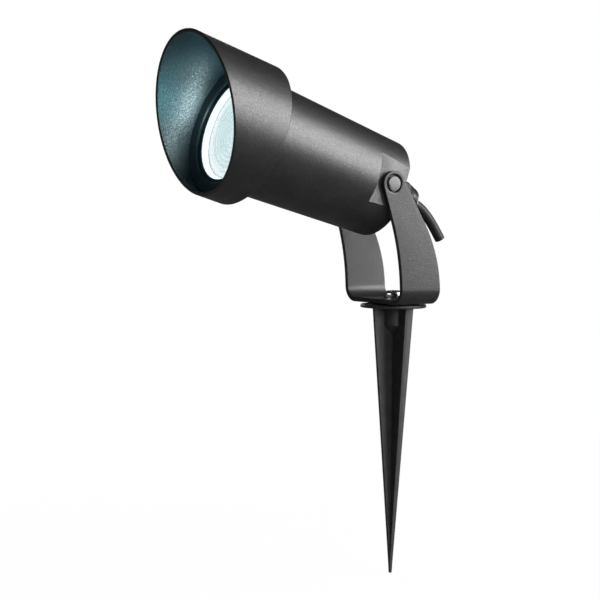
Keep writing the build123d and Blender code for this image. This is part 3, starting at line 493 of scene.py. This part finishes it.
# the front ring: its edges are broken, which draws the thin light lines round it
ringLook = {"rear": 98.9, "front": 110.1, "outer": 44.31, "inner": 36.45, "bore": 37.95, "lipRear": 108.6,
            "boreRear": 103.6, "spigot": 36.75, "edge": 0.3, "lipEdge": 0.2, "sides": 128}


def addFrontRing(look):
    edge, lipEdge, outer, inner = look["edge"], look["lipEdge"], look["outer"], look["inner"]
    front, rear, bore, spigot = look["front"], look["rear"], look["bore"], look["spigot"]
    ring = turnPiece([(outer, rear), (outer, front - edge), (outer - edge, front), (inner + lipEdge, front),
                      (inner, front - lipEdge), (inner, look["lipRear"]), (bore, look["lipRear"]),
                      (bore, look["boreRear"]), (spigot, look["boreRear"]), (spigot, rear), (outer, rear)],
                     look["sides"], closed=True)
    return finishPiece(ring, "bevelledFrontRing", [materials["stirrupCoat"]], "head")


frontRing = addFrontRing(ringLook)
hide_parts("front_ring")
print("lens, glass and front ring made")


copyCleaning = {"weld": 0.003, "flatAngle": 0.2}      # mm and degrees


def copyNode(name):
    # a copy of the CAD mesh, its loose triangles merged and its flat faces joined again
    bpy.ops.object.select_all(action="DESELECT")
    piece = bpy.data.objects.new(name + "Copy", frame["nodes"][name].data.copy())
    scene.collection.objects.link(piece)
    piece.select_set(True)
    bpy.context.view_layer.objects.active = piece
    bpy.ops.object.mode_set(mode="EDIT")
    bpy.ops.mesh.select_all(action="SELECT")
    bpy.ops.mesh.remove_doubles(threshold=copyCleaning["weld"] * mm)
    bpy.ops.mesh.customdata_custom_splitnormals_clear()
    bpy.ops.mesh.dissolve_limited(angle_limit=math.radians(copyCleaning["flatAngle"]))
    bpy.ops.mesh.normals_make_consistent(inside=False)
    bpy.ops.object.mode_set(mode="OBJECT")
    return piece


def roundEdges(piece, width, segments=2, angle=35):
    bevel = piece.modifiers.new("edges", "BEVEL")
    bevel.harden_normals = True
    bevel.width = width * mm
    bevel.segments = segments
    bevel.limit_method = "ANGLE"
    bevel.angle_limit = math.radians(angle)
    bevel.use_clamp_overlap = True
    bpy.ops.object.modifier_apply(modifier=bevel.name)


coneFit = {"near": 0.12, "aligned": 0.985}      # mm off the cone, and the cosine of a normal's largest error


def trueNormals(piece, cones):
    # turned walls shade as true cones, each with its radius (mm) at the pivot, its growth along the axis, and
    # 1 for an outer wall or -1 for an inner one
    turn = headMatrix.to_3x3()
    normals = [corner.vector.copy() for corner in piece.data.corner_normals]
    for face in piece.data.polygons:
        for loop in face.loop_indices:
            place = toHead @ piece.data.vertices[piece.data.loops[loop].vertex_index].co / mm
            reach = math.hypot(place.x, place.y)
            for radius, growth, side in cones:
                if abs(reach - radius - growth * place.z) < coneFit["near"]:
                    slope = Vector((place.x / reach, place.y / reach, -growth))
                    normal = (turn @ slope).normalized() * side
                    if normal.dot(face.normal) > coneFit["aligned"]:
                        normals[loop] = normal
    piece.data.normals_split_custom_set(normals)


def paintInside(piece, material):
    # the wall that faces the head's axis
    piece.data.materials.append(material)
    for face in piece.data.polygons:
        place = toHead @ face.center
        facing = headTurn.transposed() @ face.normal
        if facing.x * place.x + facing.y * place.y < 0 and abs(facing.z) < 0.3:       # 0.3 leaves out the ends
            face.material_index = 1


# the outer pieces keep their CAD form, and get the small radii (mm) that a tool or the paint leaves on edges
outerPieces = {
    "ground_spike": {"name": "ribbedGroundSpike", "body": "spike", "slot": "spike_nylon", "edge": 0.35},
    "friction_washer": {"name": "stampedFrictionWasher", "body": "spike", "slot": "black_nylon",
                        "edge": 0.15},
    "base_washer": {"name": "punchedBaseWasher", "body": "spike", "slot": "zinc_steel", "edge": 0.15},
    "base_screw": {"name": "domedBaseScrew", "body": "spike", "slot": "zinc_steel", "edge": 0.2},
    "stirrup": {"name": "foldedStirrup", "body": "bracket", "slot": "black_powder_coat", "edge": 0.35,
                "finish": "stirrupCoat"},
    "housing": {"name": "taperedHousing", "body": "head", "slot": "black_powder_coat", "edge": 0.25,
                "cones": [(32.85, 0.0481, 1)]},
    "shroud": {"name": "slantCutShroud", "body": "head", "slot": "black_powder_coat", "edge": 0.4,
               "inside": "innerCoat", "cones": [(44.486, 0.024, 1), (42.036, 0.024, -1)]},
    "pivot_caps": {"name": "snapInPivotCaps", "body": "head", "slot": "black_plastic", "edge": 0.25},
    "gland_body": {"name": "glandBody", "body": "head", "slot": "black_plastic", "edge": 0.25},
    "gland_dome_nut": {"name": "glandDomeNut", "body": "head", "slot": "black_plastic", "edge": 0.3},
}
for nodeName, look in outerPieces.items():
    piece = copyNode(nodeName)
    finish = materials[look.get("finish", look["slot"])]
    finishPiece(piece, look["name"], [finish], look["body"], smooth=25)
    roundEdges(piece, look["edge"])
    if "inside" in look:
        paintInside(piece, materials[look["inside"]])
    if "cones" in look:
        trueNormals(piece, look["cones"])
    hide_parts(nodeName)
    print(look["name"], "made,", len(piece.data.polygons), "faces")

# a bush lines each ear's counterbore: its shallow coned face is bright against the dark gap round the cap, and
# that gap is partly painted shade, as the bore's wall gets the darker silicone finish
pivotRingLook = {"inner": 5.82, "outer": 7.05, "back": 30.9, "lip": 32.40, "face": 32.76, "sides": 64,
                 "lipWide": 0.12, "lipRise": 0.1, "faceEdge": 0.15, "rimDrop": 0.04, "rimWall": 0.12,
                 "wall": 0.06, "backStep": 0.7}


def addPivotRings(look):
    inner, outer, back, lip, top = look["inner"], look["outer"], look["back"], look["lip"], look["face"]
    wall = inner + look["wall"]
    toSide = headMatrix @ Matrix.Rotation(math.radians(90), 4, "Y")
    first = turnPiece([(inner, back), (inner, lip), (inner + look["lipWide"], lip + look["lipRise"]),
                       (outer - look["faceEdge"], top), (outer, top - look["rimDrop"]),
                       (outer, top - look["rimWall"]), (wall, back + look["backStep"]), (wall, back),
                       (inner, back)], look["sides"], toSide, closed=True)
    finishPiece(first, "pivotRingNear", [materials["black_powder_coat"], materials["black_silicone"]],
                "bracket")
    # painted shade: the bore's own wall gets the darker, duller silicone finish so that the gap reads dark
    for face in first.data.polygons:
        radial = face.center - headPlace["pivot"]
        radial.x = 0
        if face.normal.dot(radial.normalized()) < -0.6:       # the bore's own wall
            face.material_index = 1
    second = first.copy()
    second.data = first.data.copy()
    second.name = second.data.name = "pivotRingFar"
    scene.collection.objects.link(second)
    second.data.transform(headMatrix @ Matrix.Rotation(math.radians(180), 4, "Y") @ toHead)
    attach(second, "bracket")


addPivotRings(pivotRingLook)
print("pivot rings made")

# every CAD node that stays gets the finish of its record slot
slotOf = {part["node"]: part["material_slot"] for part in frame["record"]["subparts"]}
for name, node in frame["nodes"].items():
    finish = {"clear_glass": clearGlass, "lamp_lens": lens.data.materials[0]}.get(slotOf[name])
    node.data.materials.clear()
    node.data.materials.append(finish or materials[slotOf[name]])
print("CAD nodes finished")

# the studio: a pale floor that blends into white, a large key softbox behind the head's right side, and
# weaker ones low in front and at the back; distances and sizes in metres, powers in watts, and the places and
# radii of the lamp's own lights in mm on the head
studio = {
    "floorZ": -176.4,
    "floorSize": 40.0,
    "floorColour": "#E4E4E4",
    "nearShare": 0.96,      # of the floor's own white near the object, all of it further off
    "blendFrom": 0.2, "blendTo": 0.9,
    "mirrored": 0.12,       # how bright shiny pieces see the floor
    "dim": 0.25,            # the world's own light
    "walls": [(0.0, 0.02), (0.55, 0.03), (0.95, 0.9)],      # their brightness, from side-on to the key's side
    "keyDirection": (0.668, 0.694, 0.268), "keyDistance": 1.2, "keySize": 0.85, "keyPower": 24.0,
    "fillDirection": (0.93, -0.05, 0.2), "fillDistance": 1.3, "fillSize": 0.5, "fillPower": 6.5,
    "backDirection": (-0.85, 0.25, 0.2), "backDistance": 1.3, "backSize": 0.7, "backPower": 10.0,
    "stripDirection": (-0.056, -0.965, 0.259), "stripDistance": 1.2, "stripWide": 1.1, "stripTall": 0.35,
    "stripAim": (0.0, 0.0, 9.0), "stripPower": 5.0,
    "rearDirection": (-0.086, 0.966, -0.05), "rearDistance": 1.0, "rearSize": 0.4,
    "rearAim": (8.0, 0.0, -33.0), "rearPower": 4.0,
    "lampRadius": 18.0, "lampPlace": (6.0, 4.0, 117.0), "lampAim": (-54.0, 66.0, 160.0), "lampPower": 0.033,
    "lampColour": "#86DFF2",
    "twinRadius": 18.0, "twinPlace": (-6.0, 4.0, 117.0), "twinAim": (54.0, 66.0, 160.0), "twinPower": 0.033,
    "glowRadius": 25.0, "glowPlace": (0.0, 0.0, 135.0), "glowAim": (0.0, 0.0, 35.0), "glowPower": 0.02,
    "hotPlace": (-27.0, 7.5, 112.0), "hotAim": (-46.0, 8.0, 125.0), "hotRadius": 5.0, "hotPower": 0.0056,
    "hotColour": "#D4F2F6",
}


def addFloor(setup):
    bpy.ops.object.select_all(action="DESELECT")
    bpy.ops.mesh.primitive_plane_add(size=setup["floorSize"], location=(0, 0, setup["floorZ"] * mm))
    floor = bpy.context.object
    floor.name = "floor"
    material, tree, shader = newMaterial("paleFloor", {
        "colour": setup["floorColour"], "sockets": {"Roughness": 0.9, "Specular IOR Level": 0.1}})
    path = addNode(tree, "ShaderNodeLightPath").outputs
    place = addNode(tree, "ShaderNodeTexCoord").outputs["Object"]
    away = addNode(tree, "ShaderNodeVectorMath", {0: place}, operation="LENGTH")
    cameraShare = addNode(tree, "ShaderNodeMapRange", {
        "Value": away.outputs["Value"], "From Min": setup["blendFrom"], "From Max": setup["blendTo"],
        "To Min": setup["nearShare"], "To Max": 1.0}, interpolation_type="SMOOTHSTEP")
    seen = addNode(tree, "ShaderNodeMath", {0: path["Is Camera Ray"], 1: cameraShare.outputs["Result"]},
                   operation="MULTIPLY")
    mirrored = addNode(tree, "ShaderNodeMath", {0: path["Is Glossy Ray"], 1: path["Is Transmission Ray"]},
                       operation="ADD", use_clamp=True)
    share = addNode(tree, "ShaderNodeMath", {0: mirrored.outputs[0], 1: seen.outputs[0]},
                    operation="ADD", use_clamp=True)
    level = addNode(tree, "ShaderNodeMix", {0: path["Is Camera Ray"], 2: setup["mirrored"], 3: 1.0})
    white = addNode(tree, "ShaderNodeEmission", {"Strength": level.outputs[0]})
    mixed = addNode(tree, "ShaderNodeMixShader", {
        0: share.outputs[0], 1: shader.outputs[0], 2: white.outputs[0]})
    tree.links.new(mixed.outputs[0], tree.nodes["Material Output"].inputs["Surface"])
    floor.data.materials.append(material)


def addWorld(setup):
    world = bpy.data.worlds.new("studio")
    scene.world = world
    world.use_nodes = True
    tree = world.node_tree
    path = addNode(tree, "ShaderNodeLightPath").outputs
    # what shiny surfaces mirror: a bright wall on the key's side that falls off to dim walls
    direction = addNode(tree, "ShaderNodeTexCoord").outputs["Generated"]
    facing = addNode(tree, "ShaderNodeVectorMath", {
        0: direction, 1: Vector(setup["keyDirection"]).normalized()}, operation="DOT_PRODUCT")
    walls = addNode(tree, "ShaderNodeValToRGB", {"Fac": facing.outputs["Value"]},
                    stops=[(position, (level, level, level, 1)) for position, level in setup["walls"]])
    backdrop = addNode(tree, "ShaderNodeMix", {"Factor": path["Is Camera Ray"], 6: walls.outputs["Color"],
                                               7: (1, 1, 1, 1)}, data_type="RGBA")
    first = addNode(tree, "ShaderNodeMath", {0: path["Is Camera Ray"], 1: path["Is Glossy Ray"]},
                    operation="ADD")
    seen = addNode(tree, "ShaderNodeMath", {0: first.outputs[0], 1: path["Is Transmission Ray"]},
                   operation="ADD", use_clamp=True)
    dim = addNode(tree, "ShaderNodeBackground", {"Color": (setup["dim"],) * 3 + (1,), "Strength": 1.0})
    white = addNode(tree, "ShaderNodeBackground", {"Color": backdrop.outputs[2], "Strength": 1.0})
    mixed = addNode(tree, "ShaderNodeMixShader", {
        0: seen.outputs[0], 1: dim.outputs[0], 2: white.outputs[0]})
    tree.links.new(mixed.outputs[0], tree.nodes["World Output"].inputs["Surface"])


def addSoftbox(name, place, aim, size, power):
    data = bpy.data.lights.new(name, "AREA")
    data.shape = "SQUARE"
    data.size = size
    data.energy = power
    lamp = bpy.data.objects.new(name, data)
    scene.collection.objects.link(lamp)
    lamp.location = place
    lamp.rotation_mode = "QUATERNION"
    lamp.rotation_quaternion = (Vector(place) - Vector(aim)).to_track_quat("Z", "Y")
    lamp.visible_camera = False
    return lamp


def limitLight(lamp, names):
    lit = bpy.data.collections.new(lamp.name + "Pieces")
    for name in names:
        lit.objects.link(bpy.data.objects[name])
    lamp.light_linking.receiver_collection = lit


addFloor(studio)
addWorld(studio)
tubeMiddle = headPoint(0, 0, 50)
for side in ("key", "fill", "back"):
    place = tubeMiddle + studio[side + "Distance"] * Vector(studio[side + "Direction"]).normalized()
    addSoftbox(side + "Softbox", place, tubeMiddle, studio[side + "Size"], studio[side + "Power"])

# a strip that only the bright fasteners mirror, and a rim light for the gland alone
stripAim = Vector(studio["stripAim"]) * mm
stripPlace = stripAim + studio["stripDistance"] * Vector(studio["stripDirection"])
strip = addSoftbox("fastenerStrip", stripPlace, stripAim, studio["stripWide"], studio["stripPower"])
strip.data.shape = "RECTANGLE"
strip.data.size_y = studio["stripTall"]
rearAim = headPoint(*studio["rearAim"])
rearPlace = rearAim + studio["rearDistance"] * Vector(studio["rearDirection"])
rear = addSoftbox("glandRim", rearPlace, rearAim, studio["rearSize"], studio["rearPower"])
limitLight(strip, ("domedBaseScrew", "punchedBaseWasher"))
limitLight(rear, ("glandDomeNut",))

# the lit lamp's own cold light on both walls of the shroud, what they throw back on the front ring, and the
# bright patch on the far wall
for part in ("lamp", "twin", "glow", "hot"):
    beam = addSoftbox(part + "Beam", headPoint(*studio[part + "Place"]), headPoint(*studio[part + "Aim"]),
                      2 * studio[part + "Radius"] * mm, studio[part + "Power"])
    beam.data.shape = "DISK"
    beam.data.color = srgb(studio["hotColour" if part == "hot" else "lampColour"])[:3]
    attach(beam, "head")
    if part != "glow":
        limitLight(beam, ("slantCutShroud", "bevelledFrontRing"))      # and not back on the lens

scene.view_settings.view_transform = "Standard"
print("studio set")
